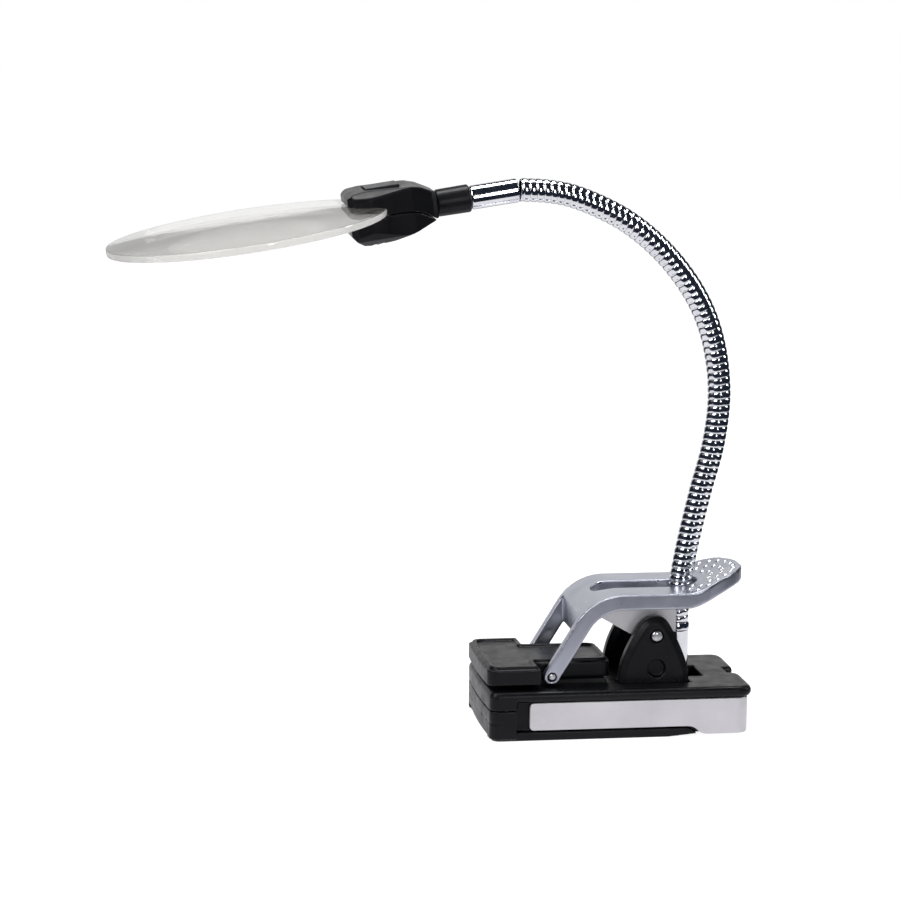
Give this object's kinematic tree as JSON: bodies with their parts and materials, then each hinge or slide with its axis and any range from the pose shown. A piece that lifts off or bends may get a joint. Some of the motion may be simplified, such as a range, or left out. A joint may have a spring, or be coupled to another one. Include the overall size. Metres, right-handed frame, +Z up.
{
  "type": "clip-on reading lamp",
  "caption": "Clip-on reading lamp with a sprung clamp on a battery base, a ribbed bending neck, and a rimless round magnifying lens with LEDs at its head.",
  "frame": {"origin": "on the flat underside of the base, directly below the clamp's pivot pin", "axes": "+Z up, +X towards the thumb end of the clamp, so that the lens reaches out towards -X; +Y completes the right-handed frame and is the side away from the picture's camera"},
  "size_m": [0.1943, 0.084, 0.1682],
  "materials": {
    "black_plastic": "semi-gloss moulded black plastic",
    "rubber": "matt black rubber",
    "satin_metal": "satin silver coated die casting",
    "silver_plate": "light satin silver",
    "chrome": "bright chrome plate",
    "steel": "bright zinc plated steel",
    "circuit_board": "green board",
    "cell_jacket": "plain printed jacket without lettering",
    "clear_acrylic": "polished clear acrylic",
    "led_epoxy": "clear epoxy"
  },
  "bodies": {
    "base": {"base_top_cover": "black_plastic", "base_bottom_shell": "black_plastic", "side_band": "silver_plate", "battery_cell_1": "cell_jacket", "battery_cell_2": "cell_jacket", "battery_cell_3": "cell_jacket", "contact_plate_front": "steel", "contact_plate_rear": "steel", "base_circuit_board": "circuit_board", "base_screw_1": "steel", "base_screw_2": "steel", "base_screw_3": "steel", "base_screw_4": "steel", "base_pad": "rubber", "pivot_bracket_near": "black_plastic", "pivot_bracket_far": "black_plastic", "pivot_pin": "steel", "torsion_spring": "steel", "neck_ferrule": "chrome", "neck_nut": "steel", "neck_segment_1": "chrome"},
    "door": {"battery_door": "black_plastic"},
    "lever": {"clamp_lever": "satin_metal", "pivot_yoke": "silver_plate"},
    "jaw": {"jaw_plate": "black_plastic", "jaw_pad": "rubber", "jaw_pin_near": "steel", "jaw_pin_far": "steel"},
    "neck_2": {"neck_segment_2": "chrome"},
    "neck_3": {"neck_segment_3": "chrome"},
    "neck_4": {"neck_segment_4": "chrome"},
    "neck_5": {"neck_segment_5": "chrome", "head_ferrule": "chrome"},
    "head": {"head_sleeve": "black_plastic", "head_upper_shell": "black_plastic", "head_lower_shell": "black_plastic", "switch_body": "steel", "led_board": "circuit_board", "led_near": "led_epoxy", "led_far": "led_epoxy", "head_screw_1": "steel", "head_screw_2": "steel", "lens": "clear_acrylic"},
    "button": {"push_button": "black_plastic"}
  },
  "joints": [
    {"name": "door_slide", "type": "slide", "parent": "base", "child": "door", "axis": [-1, 0, 0], "range_m": [0, 0.048]},
    {"name": "lever_hinge", "type": "hinge", "parent": "base", "child": "lever", "pos_m": [0, 0, 0.0297], "axis": [0, 1, 0], "range_deg": [0, 30], "stiffness_Nm_per_rad": 0.3, "springref_deg": -34.38},
    {"name": "jaw_tilt", "type": "hinge", "parent": "lever", "child": "jaw", "pos_m": [-0.0328, 0, 0.0184], "axis": [0, 1, 0], "range_deg": [-30, 0]},
    {"name": "neck_bend_low", "type": "hinge", "parent": "base", "child": "neck_2", "pos_m": [0.01308, 0, 0.06012], "axis": [0, 1, 0], "range_deg": [-15, 15]},
    {"name": "neck_side_bend", "type": "hinge", "parent": "neck_2", "child": "neck_3", "pos_m": [0.01998, 0, 0.08993], "axis": [1, 0, 0], "range_deg": [-15, 15]},
    {"name": "neck_bend_mid", "type": "hinge", "parent": "neck_3", "child": "neck_4", "pos_m": [0.01818, 0, 0.12023], "axis": [0, 1, 0], "range_deg": [-15, 15]},
    {"name": "neck_bend_high", "type": "hinge", "parent": "neck_4", "child": "neck_5", "pos_m": [0.00108, 0, 0.1472], "axis": [0, 1, 0], "range_deg": [-15, 15]},
    {"name": "head_swivel", "type": "hinge", "parent": "neck_5", "child": "head", "pos_m": [-0.05722, 0, 0.16225], "axis": [-0.9877, 0, -0.1564], "range_deg": [-45, 45]},
    {"name": "button_press", "type": "slide", "parent": "head", "child": "button", "axis": [0.1563, 0.0349, -0.9871], "range_m": [0, 0.0008], "stiffness_N_per_m": 800}
  ],
  "couplings": [
    {"joint": "jaw_tilt", "follows": "lever_hinge", "ratio": -1}
  ]
}
